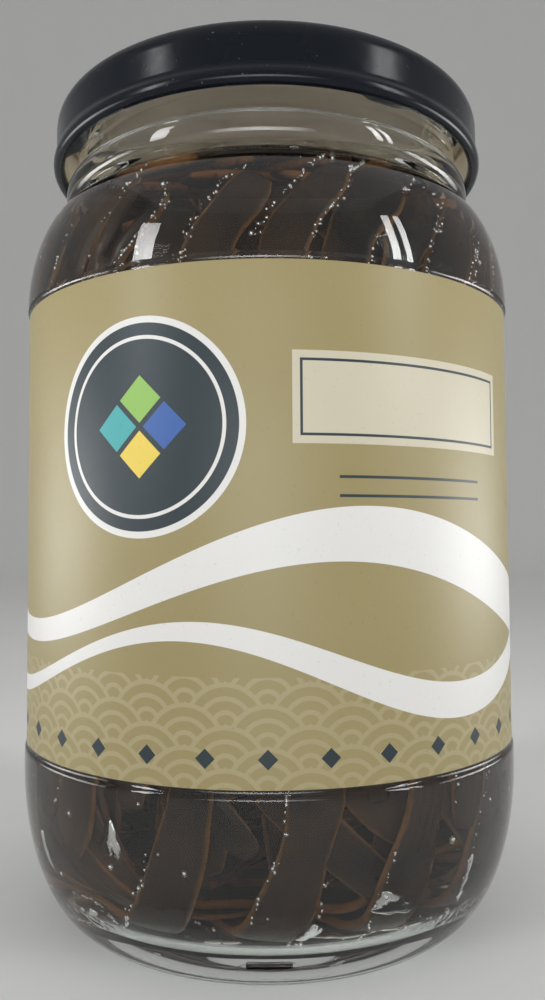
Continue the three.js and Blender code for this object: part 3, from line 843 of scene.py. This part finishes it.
strapShape = {
    "thick": 1.3, "step": 6.8, "fineStep": 2.6, "columns": 6, "slots": 14, "driftFrom": 27.0,
    "driftLength": 85.0, "forkSteps": 3, "forkSpread": 1.5, "seed": 320, "roll": 0.14, "crown": 0.16,
    "layers": (
        {"depth": 1.5, "aim": 0.35, "slant": 0.95, "wave": 0.1, "waveLength": 47.0},
        {"depth": 4.0, "aim": 1.55, "slant": -1.05, "wave": 0.09, "waveLength": 58.0},
        {"depth": 6.7, "aim": 2.6, "slant": 0.75, "wave": 0.12, "waveLength": 40.0},
    ),
}


bubbleShape = {
    "seed": 9, "besideDepth": 1.5, "share": 0.6, "low": 0.13, "high": 0.4, "off": 0.06, "jitter": 0.35,
    "perStep": 3, "ringCount": 240, "loose": 70, "pocketThick": 0.75,
    # flat pockets of air against the glass: angle round, way up the wall, half length, half width, turn
    "pockets": (
        (-52, 27.0, 3.4, 1.3, 35), (-44, 21.5, 2.1, 0.9, -20), (-60, 36.0, 1.6, 2.6, 10),
        (-33, 41.0, 1.2, 2.2, 0), (22, 22.5, 3.6, 1.1, 12), (38, 24.5, 2.6, 1.4, 40),
        (27, 33.0, 3.1, 1.5, -25), (50, 33.5, 1.3, 3.2, 8), (9, 30.0, 1.8, 0.8, 50),
        (-12, 24.0, 2.2, 0.8, -30), (120, 30.0, 3.0, 1.2, 25), (165, 24.0, 2.6, 1.2, -15),
        (205, 34.0, 1.4, 2.8, 5), (248, 26.0, 2.9, 1.1, 20), (-70, 110.0, 2.4, 1.0, 15),
        (64, 109.0, 2.2, 1.2, -20), (150, 110.0, 2.0, 1.0, 30), (240, 108.0, 2.4, 0.9, -10),
    ),
}
strapEdges = []  # points along the edges of the straps that lie against the glass


# Random draws that come out the same each time
class Draws:
    def __init__(self, seed):
        self.seed = seed

    def draw(self, low, high):
        self.seed = (self.seed * 1664525 + 1013904223) % 4294967296
        return low + (high - low) * self.seed / 4294967296


# A layer is the line of the inner wall drawn in by a depth, with the way along it
def makeLayer(depth):
    s = jarShape
    heel = arcPoints(s["innerHeelCentre"], s["heelTop"], s["innerRadius"] - s["innerHeelCentre"] - depth,
                     s["heelTop"] - s["innerFloor"] - depth, -90, 0, 24)
    shoulder = arcPoints(s["innerShoulderCentre"], s["innerShoulderFoot"],
                         s["innerRadius"] - s["innerShoulderCentre"] - depth, s["innerShoulderRise"] - depth,
                         0, 84, 24)
    line = [(0, s["innerFloor"] + depth)] + heel + shoulder
    along = [0]
    for before, after in zip(line, line[1:]):
        along.append(along[-1] + math.dist(before, after))
    return {"line": line, "along": along, "length": along[-1], "depth": depth}


def pointAlong(layer, way):
    line, along = layer["line"], layer["along"]
    i = 1
    while i < len(line) - 1 and along[i] < way:
        i += 1
    part = (way - along[i - 1]) / (along[i] - along[i - 1])
    return [a + (b - a) * part for a, b in zip(line[i - 1], line[i])]


# The nearest point of a layer, and the way out of the layer there
def ontoLayer(layer, point):
    radius, angle = math.hypot(point.x, point.y), math.atan2(point.y, point.x)
    best = None
    for (ar, az), (br, bz) in zip(layer["line"], layer["line"][1:]):
        dr, dz = br - ar, bz - az
        size = math.hypot(dr, dz)
        part = min(max(((radius - ar) * dr + (point.z - az) * dz) / size ** 2, 0), 1)
        gap = math.hypot(ar + dr * part - radius, az + dz * part - point.z)
        if best is None or gap < best[0]:
            best = (gap, ar + dr * part, az + dz * part, dz / size, -dr / size)
    at = Vector((best[1] * math.cos(angle), best[1] * math.sin(angle), best[2]))
    return at, Vector((best[3] * math.cos(angle), best[3] * math.sin(angle), best[4]))


# A smooth curve through flat guides, whose bends follow the spacing of the guides
def curvePoint(guides, t):
    place = t * (len(guides) - 1)
    i = min(int(place), len(guides) - 2)
    part = place - i
    p1, p2 = guides[i], guides[i + 1]
    p0 = guides[i - 1] if i > 0 else p1 * 2 - p2
    p3 = guides[i + 2] if i + 2 < len(guides) else p2 * 2 - p1
    d0, d1, d2 = [max((b - a).length ** 0.5, 1e-4) for a, b in ((p0, p1), (p1, p2), (p2, p3))]
    m1 = ((p1 - p0) / d0 - (p2 - p0) / (d0 + d1) + (p2 - p1) / d1) * d1
    m2 = ((p2 - p1) / d1 - (p3 - p1) / (d1 + d2) + (p3 - p2) / d2) * d1
    return (p1 + m1 * part + (p1 * -3 + p2 * 3 - m1 * 2 - m2) * part ** 2
            + (p1 * 2 - p2 * 2 + m1 + m2) * part ** 3)


def spacedPoints(guides, step):
    dense = [curvePoint(guides, i / 300) for i in range(301)]
    along = [0]
    for before, after in zip(dense, dense[1:]):
        along.append(along[-1] + (after - before).length)
    count = max(4, round(along[-1] / step))
    points, k = [], 1
    for i in range(count + 1):
        way = along[-1] * i / count
        while k < 300 and along[k] < way:
            k += 1
        part = (way - along[k - 1]) / (along[k] - along[k - 1])
        points.append(dense[k - 1].lerp(dense[k], part))
    return points, along[-1]


def middleLine(layer, guides, step):
    flat = [Vector((way * math.cos(angle), way * math.sin(angle), 0)) for way, angle in guides]
    unrolled, length = spacedPoints(flat, step)
    points = []
    for p in unrolled:
        r, z = pointAlong(layer, min(p.length, layer["length"]))
        angle = math.atan2(p.y, p.x)
        points.append(Vector((r * math.cos(angle), r * math.sin(angle), z)))
    line = []
    for i, point in enumerate(points):
        along = (points[min(i + 1, len(points) - 1)] - points[max(i - 1, 0)]).normalized()
        line.append((point, along.cross(ontoLayer(layer, point)[1]).normalized()))
    return line, length


# Places across a strap at a part of its way, from -1 to 1 of its half width, with the fork's two tines
def acrossPlaces(halfWidth, columns, forkPart):
    half = columns // 2
    if forkPart is None:
        return [halfWidth * (k / half - 1) for k in range(columns + 1)]
    apart = strapShape["forkSpread"] * forkPart
    wide = halfWidth * (1 - 0.15 * min(forkPart * 3, 1))
    tip = min(1, (1 - forkPart) * 5)
    middle, spread = apart + wide / 2, wide / 2 * (0.55 + 0.45 * math.sqrt(max(tip, 0)))
    right = [middle + spread * (2 * k / (half - 1) - 1) for k in range(half)]
    return [-value for value in reversed(right)] + [0] + right


def layStrap(name, layer, guides, halfWidth, forked, thick, fineStep, columns, luck):
    line, length = middleLine(layer, guides, fineStep)
    rows = len(line) - 1
    split = rows - round(strapShape["forkSteps"] * strapShape["step"] / (length / rows)) if forked else rows
    ways = [0]
    for before, after in zip(line, line[1:]):
        ways.append(ways[-1] + (after[0] - before[0]).length)
    edges = [[], []]
    startClean()
    bpy.ops.mesh.primitive_grid_add(x_subdivisions=columns, y_subdivisions=rows, size=1)
    strap = nameActive(name)
    roll, phase = strapShape["roll"], luck.draw(0, 6.3)
    for vertex in strap.data.vertices:
        i = round((vertex.co.y + 0.5) * rows)
        column = round((vertex.co.x + 0.5) * columns)
        point, across = line[i]
        way = ways[i]
        wide = halfWidth * (1 + 0.1 * math.sin(way / 3.6) + 0.05 * math.sin(way / 1.9 + phase))
        ends = min(way, ways[-1] - way) / 4.5
        if ends < 1:
            wide *= 0.5 + 0.5 * math.sqrt(max(ends, 0))
        offset = acrossPlaces(wide, columns, None if i <= split else (i - split) / (rows - split))[column]
        at, out = ontoLayer(layer, point + across * offset)
        lean = roll * math.sin(way / 13 + phase) + 0.4 * roll * math.sin(way / 5.1 - phase)
        lift = offset * lean + strapShape["crown"] * (1 - (offset / max(wide, 0.1)) ** 2)
        vertex.co = (at + out * lift) * mm
        if column in (0, columns):
            edges[0 if column == 0 else 1].append((at, out))
    if layer.get("depth") == bubbleShape["besideDepth"]:
        strapEdges.extend(edges)
    if forked:
        partFork(strap, rows, split, columns)
    addModifier(strap, "SOLIDIFY", thickness=thick * mm, offset=0)
    addModifier(strap, "SUBSURF", levels=1, render_levels=1)
    editAll(strap, lambda: bpy.ops.mesh.normals_make_consistent(inside=False))
    pickOnly(strap)
    bpy.ops.object.shade_smooth()
    return strap


# Takes out the two middle columns past the split, so that the strap parts into tines
def partFork(strap, rows, split, columns):
    middle = columns // 2
    chosen = set()
    for row in range(split, rows):
        for column in (middle - 1, middle):
            chosen.add(row * columns + column)
    pickOnly(strap)
    for part in (*strap.data.vertices, *strap.data.edges):
        part.select = False
    for face in strap.data.polygons:
        face.select = face.index in chosen
    tools = bpy.context.tool_settings
    tools.mesh_select_mode = (False, False, True)
    bpy.ops.object.mode_set(mode="EDIT")
    bpy.ops.mesh.delete(type="FACE")
    bpy.ops.object.mode_set(mode="OBJECT")
    tools.mesh_select_mode = (True, False, False)


def drift(rule, way):
    climb = max(way - strapShape["driftFrom"], 0)
    wave = math.sin(climb / rule["waveLength"] * 2 * math.pi)
    return rule["slant"] * climb / strapShape["driftLength"] + rule["wave"] * wave


def upTheWall(rule, angle, low, high):
    steps = max(2, round((high - low) / 11))
    ways = [low + (high - low) * i / steps for i in range(steps + 1)]
    return [(way, angle + drift(rule, way)) for way in ways]


# The same straps as the frame's, by the same rule and draws, at a finer step
def buildStraps():
    s = strapShape
    luck, looks = Draws(s["seed"]), Draws(s["seed"] + 1)
    spacing = 2 * math.pi / s["slots"]
    count = 0
    for rule in s["layers"]:
        layer = makeLayer(rule["depth"])
        for pair in range(s["slots"] // 2):
            away = spacing * (pair + 0.5)
            halfWidth = luck.draw(2.7, 3.5)
            tops = [layer["length"] - luck.draw(0.5, 6) for side in (1, -1)]
            places = [rule["aim"] + side * away + luck.draw(-0.04, 0.04) for side in (1, -1)]
            laid = []
            if pair in (0, s["slots"] // 2 - 1):
                for k in (0, 1):
                    laid.append((upTheWall(rule, places[k], 31 + 4 * k, tops[k]), k == 0))
            else:
                first = upTheWall(rule, places[0], 36, tops[0])
                second = upTheWall(rule, places[1], 36, tops[1])
                floor = []
                for part in (0.3, -0.3):
                    x = jarShape["innerHeelCentre"] * math.cos(away)
                    y = jarShape["innerHeelCentre"] * math.sin(away) * part
                    floor.append((math.hypot(x, y), rule["aim"] + math.atan2(y, x)))
                laid.append((second[::-1] + [floor[1], floor[0]] + first, pair % 2 == 0))
            for guides, forked in laid:
                count += 1
                name = "strap_piece_" + str(count).zfill(2)
                strap = layStrap(name, layer, guides, halfWidth, forked, s["thick"], s["fineStep"],
                                 s["columns"], looks)
                standFor(strap, "jar", "seaweed", ["strap_" + str(count).zfill(2)], wetSeaweed)
    print("straps laid:", count)


# More straps between the frame's: short ones in the same layers, thin ones between the layers,
# a deep layer, and a few that cross under the neck

fillShape = {
    "seed": 77, "fineStep": 3.4, "columns": 4, "skip": 0.12,
    "between": {"depth": 5.35, "thick": 0.85, "aim": 0.2, "slant": 0.9, "wave": 0.1, "waveLength": 44.0},
    "arms": {"depth": 2.75, "thick": 0.8, "count": 20, "low": 12.0, "lowOdd": 36.0, "stride": 4.0,
             "wind": 1.05, "skip": 0.08},
    "deep": {"depth": 8.7, "thick": 1.2, "aim": 0.5, "slant": -0.7, "wave": 0.15, "waveLength": 49.0},
    "core": {"radii": (21.8, 18.6, 15.2, 11.6), "counts": (9, 8, 6, 5), "low": 14.0, "step": 1.8,
             "high": 91.5, "slant": 0.9, "wave": 0.25, "waveLength": 50.0, "aim": 0.0, "thick": 1.3},
    "tops": {"height": 102.4, "step": 1.8, "reach": 25.1, "drawn": 0.2,
             "turns": (2.3, 0.5, 1.7, 2.6, 1.1, 0.2), "pitch": 6.4, "droop": 1.6, "thick": 1.15},
}


def joinAll(pieces, name):
    startClean()
    for piece in pieces:
        piece.select_set(True)
    bpy.context.view_layer.objects.active = pieces[0]
    bpy.ops.object.join()
    return nameActive(name)


def fillRow(rule, thick, places, luck, low, name):
    layer = makeLayer(rule["depth"])
    made = []
    for place in places:
        if luck.draw(0, 1) < fillShape["skip"]:
            continue
        start = luck.draw(low, low + 9)
        top = layer["length"] - luck.draw(0.3, 9)
        guides = upTheWall(rule, place + luck.draw(-0.03, 0.03), start, top)
        made.append(layStrap(name, layer, guides, luck.draw(2.2, 3.0), False, thick, fillShape["fineStep"],
                             fillShape["columns"], luck))
    return made


def layerFrom(line):
    along = [0]
    for before, after in zip(line, line[1:]):
        along.append(along[-1] + math.dist(before, after))
    return {"line": line, "along": along, "length": along[-1]}


# Straps that wind up the wall the other way, in arms between the first two layers, cut at random
def buildArms(luck):
    rule = fillShape["arms"]
    layer = makeLayer(rule["depth"])
    made = []
    for arm in range(rule["count"]):
        way = rule["low"] if arm % 2 == 0 else rule["lowOdd"]
        angle = 2 * math.pi * arm / rule["count"]
        windAt = 0
        path = []
        while way < layer["length"] - 1:
            path.append((way, angle + windAt))
            radius = pointAlong(layer, way)[0]
            way += rule["stride"]
            windAt -= rule["stride"] * rule["wind"] / max(radius, 8)
        if arm % 2:  # the odd arms set out where the even ones have got to
            even = rule["low"]
            turn = 0
            while even < rule["lowOdd"]:
                turn -= rule["stride"] * rule["wind"] / max(pointAlong(layer, even)[0], 8)
                even += rule["stride"]
            path = [(w, a + turn) for w, a in path]
        i = int(luck.draw(0, 3))
        while i < len(path) - 3:
            count = int(luck.draw(5, 13))
            guides = path[i:i + count]
            if len(guides) > 3 and luck.draw(0, 1) > rule["skip"]:
                stretch = max(guides[-1][0] / pointAlong(layer, guides[-1][0])[0], 1) * 0.6 + 0.4
                made.append(layStrap("fill", layer, guides, luck.draw(2.3, 2.9), False, rule["thick"],
                                     fillShape["fineStep"] * stretch, fillShape["columns"], luck))
            i += count
    standFor(joinAll(made, "strap_arms"), "jar", "seaweed", [], wetSeaweed)


# Straps that stand in the middle, on rings one inside the other
def buildCore(luck):
    rule = fillShape["core"]
    made = []
    for ring, (radius, count) in enumerate(zip(rule["radii"], rule["counts"])):
        low = rule["low"] + rule["step"] * ring
        layer = layerFrom(softCorners([(0, low, 0), (radius, low, 7), (radius, rule["high"], 0)], 8))
        way = {**rule, "slant": rule["slant"] * (-1) ** ring}
        for k in range(count):
            place = 2 * math.pi * (k + luck.draw(-0.08, 0.08)) / count + ring
            guides = upTheWall(way, place, radius * 0.75, layer["length"] - luck.draw(0, 6))
            made.append(layStrap("fill", layer, guides, luck.draw(2.6, 3.6), False, rule["thick"],
                                 fillShape["fineStep"], fillShape["columns"], luck))
    standFor(joinAll(made, "strap_core"), "jar", "seaweed", [], wetSeaweed)


# Straps that lie across the top, in flat layers that each run another way
def buildTops(luck):
    rule = fillShape["tops"]
    for number, turn in enumerate(rule["turns"]):
        height, reach = rule["height"] - rule["step"] * number, rule["reach"] - rule["drawn"] * number
        line = [(reach * i / 12, height - rule["droop"] * (i / 12) ** 2) for i in range(13)]
        layer = layerFrom(line)
        made = []
        rows = int(reach * 2 / rule["pitch"])
        for k in range(rows):
            beside = (k - (rows - 1) / 2) * rule["pitch"] + luck.draw(-0.3, 0.3)
            half = math.sqrt(max(reach ** 2 - (abs(beside) + 3) ** 2, 9))
            ends = (-half + luck.draw(0, 5), half - luck.draw(0, 5))
            guides = []
            for i in range(6):
                x = ends[0] + (ends[1] - ends[0]) * i / 5
                y = beside + 0.5 * math.sin(x / 7 + k)
                guides.append((math.hypot(x, y), math.atan2(y, x) + turn))
            made.append(layStrap("fill", layer, guides, luck.draw(2.3, 2.8), False, rule["thick"],
                                 fillShape["fineStep"], fillShape["columns"], luck))
        standFor(joinAll(made, "strap_top_" + str(number + 1)), "jar", "seaweed", [], wetSeaweed)


def buildFill():
    luck = Draws(fillShape["seed"])
    spacing = 2 * math.pi / strapShape["slots"]
    for number, rule in enumerate(strapShape["layers"]):
        places = [rule["aim"] + spacing * k for k in range(strapShape["slots"])]
        made = fillRow(rule, strapShape["thick"] * 0.85, places, luck, 37, "fill")
        piece = joinAll(made, "strap_fill_" + str(number + 1))
        standFor(piece, "jar", "seaweed", [], wetSeaweed)
    rule = fillShape["between"]
    places = [rule["aim"] + spacing * (k + 0.5) for k in range(strapShape["slots"])]
    piece = joinAll(fillRow(rule, rule["thick"], places, luck, 33, "fill"), "strap_between")
    standFor(piece, "jar", "seaweed", [], wetSeaweed)
    buildArms(luck)
    rule = fillShape["deep"]
    places = [rule["aim"] + 2 * math.pi / 9 * k for k in range(9)]
    piece = joinAll(fillRow(rule, rule["thick"], places, luck, 34, "fill"), "strap_deep")
    standFor(piece, "jar", "seaweed", [], wetSeaweed)
    buildCore(luck)
    buildTops(luck)
    print("straps between the layers laid")


buildStraps()
buildFill()
buildBrine()


# Small air bubbles that cling along the straps' edges, to the glass and under the brine's rim

def bubbleSpots(luck):
    s = bubbleShape
    spots = []
    for edge in strapEdges:
        on = False
        for (at, out), (nextAt, nextOut) in zip(edge, edge[1:]):
            if luck.draw(0, 1) < 0.3:
                on = luck.draw(0, 1) < s["share"]
            shown = at.z < 27 or at.z > 84
            if on and shown:
                for k in range(s["perStep"]):
                    size = luck.draw(s["low"], s["high"]) * luck.draw(0.6, 1)
                    beside = Vector([luck.draw(-s["jitter"], s["jitter"]) for axis in range(3)])
                    spots.append((at.lerp(nextAt, luck.draw(0, 1)) + beside, out, size))
    wall = makeLayer(s["besideDepth"])
    for k in range(s["loose"]):
        way = luck.draw(26, 46) if k % 2 else luck.draw(104, wall["length"])
        r, z = pointAlong(wall, way)
        angle = luck.draw(0, 6.3)
        point = Vector((r * math.cos(angle), r * math.sin(angle), z))
        spots.append((point, ontoLayer(wall, point)[1], luck.draw(s["low"], s["high"] * 1.8)))
    return spots


def makeBall(around, up):
    startClean()
    bpy.ops.mesh.primitive_uv_sphere_add(segments=around, ring_count=up, radius=1)
    bpy.ops.object.shade_smooth()
    return nameActive("bubble")


def copyBall(ball):
    copy = ball.copy()
    copy.data = ball.data.copy()
    bpy.context.scene.collection.objects.link(copy)
    return copy


# A pocket of air that lies flat along the inside of the glass
def shapePocket(pocket, wall, degrees, way, halfLong, halfWide, turn):
    s = bubbleShape
    angle, turned = math.radians(degrees), math.radians(turn)
    r, z = pointAlong(wall, way)
    centre, out = ontoLayer(wall, Vector((r * math.sin(angle), -r * math.cos(angle), z)))
    side = Vector((math.cos(angle), math.sin(angle), 0))
    rise = out.cross(side)
    for vertex in pocket.data.vertices:
        x, y, outward = vertex.co
        about = math.atan2(y, x)
        uneven = 1 + 0.22 * math.sin(3 * about + way) + 0.1 * math.sin(7 * about - way)
        along, up = x * halfLong * uneven, y * halfWide * uneven
        spot = centre + side * (along * math.cos(turned) - up * math.sin(turned))
        spot += rise * (along * math.sin(turned) + up * math.cos(turned))
        at, outAt = ontoLayer(wall, spot)
        vertex.co = (at - outAt * (s["off"] + s["pocketThick"] * (1 - outward) / 2)) * mm


def buildBubbles():
    s = bubbleShape
    luck = Draws(s["seed"])
    wall = makeLayer(0)
    places = []
    for point, out, size in bubbleSpots(luck):
        at, outward = ontoLayer(wall, point)
        places.append((at - outward * (size + s["off"]), size))
    for k in range(s["ringCount"]):
        angle = luck.draw(0, 6.3)
        if math.sin(3 * angle + 1) + math.sin(7 * angle) < 0.2:
            continue
        size = luck.draw(s["low"], s["high"] * 1.5)
        r = jarShape["mouthRadius"] - s["off"] - size
        height = brineShape["level"] - size - luck.draw(0, 1.2)
        places.append((Vector((r * math.cos(angle), r * math.sin(angle), height)), size))
    small, fine = makeBall(8, 6), makeBall(24, 14)
    copies = []
    for at, size in places:
        copy = copyBall(small)
        for vertex in copy.data.vertices:
            vertex.co = (at + vertex.co * size) * mm
        copies.append(copy)
    for pocket in s["pockets"]:
        copies.append(copyBall(fine))
        shapePocket(copies[-1], wall, *pocket)
    bpy.data.objects.remove(small)
    bpy.data.objects.remove(fine)
    standFor(joinAll(copies, "air_bubbles"), "jar", "brine", [], airBubble)
    print("bubbles:", len(copies))


buildBubbles()


# The stage, the lamps and the camera

def buildStage():
    startClean()
    stageBowl = turnPiece("stage_bowl", softCorners([
        (0, 0, 0), (800, 0, 0), (1500, 0, 600), (1500, 1700, 0),
        (1520, 1700, 0), (1520, -20, 0), (0, -20, 0),
    ], 14), 96)
    material, tree, shader = newMaterial("paleStage")
    grain = addNoise(tree, objectPlace(tree), 30)
    tree.links.new(blendColours(tree, grain, (0.89, 0.89, 0.885, 1), (0.91, 0.91, 0.905, 1)),
                   shader.inputs["Base Color"])
    setValues(shader, **{"Roughness": 0.8, "Metallic": 0.0})
    stageBowl.data.materials.append(material)


def addLamp(name, place, aim, wide, high, power, spread=180):
    data = bpy.data.lights.new(name, "AREA")
    data.shape = "RECTANGLE"
    data.size, data.size_y, data.energy, data.spread = wide, high, power, math.radians(spread)
    lamp = bpy.data.objects.new(name, data)
    lamp.location = place
    lamp.rotation_euler = (Vector(aim) - Vector(place)).to_track_quat("-Z", "Y").to_euler()
    lamp.visible_camera = False
    bpy.context.scene.collection.objects.link(lamp)


cameraPlace = {"at": (0.00066, -0.1309, 0.0537), "pitch": 92.71, "roll": -0.32, "lens": 30.02}


def addCamera():
    data = bpy.data.cameras.new("camera")
    data.lens, data.sensor_width, data.clip_start = cameraPlace["lens"], 36, 0.005
    camera = bpy.data.objects.new("camera", data)
    tilt = Matrix.Rotation(math.radians(cameraPlace["pitch"]), 4, "X")
    camera.matrix_world = Matrix.Translation(cameraPlace["at"]) @ tilt @ Matrix.Rotation(
        math.radians(cameraPlace["roll"]), 4, "Z")
    bpy.context.scene.collection.objects.link(camera)
    bpy.context.scene.camera = camera


buildStage()
addLamp("softTop", (0.0, -0.3, 1.5), (0, 0, 0.05), 2.4, 2.4, 3.6)
addLamp("stripLeft", (-0.8, -0.55, 0.42), (0, 0, 0.07), 0.16, 0.55, 0.34, 60)
addLamp("stripRight", (0.75, -0.45, 0.42), (0, 0, 0.07), 0.06, 0.55, 0.17, 60)
addLamp("stripRightTwo", (0.8, -0.36, 0.42), (0, 0, 0.07), 0.05, 0.55, 0.13, 60)
addLamp("lowFront", (-0.02, -0.34, 0.07), (0, 0, 0.11), 0.5, 0.1, 0.13, 60)
addLamp("lowLeft", (-0.3, 0.03, 0.06), (0, 0, 0.11), 0.3, 0.08, 0.08, 60)
addLamp("lowRight", (0.3, 0.05, 0.06), (0, 0, 0.11), 0.3, 0.08, 0.08, 60)
addCamera()

world = bpy.data.worlds.new("softSky")
world.use_nodes = True
world.node_tree.nodes["Background"].inputs["Color"].default_value = (1, 1, 1, 1)
world.node_tree.nodes["Background"].inputs["Strength"].default_value = 0.3
bpy.context.scene.world = world
bpy.context.scene.view_settings.view_transform = "Standard"
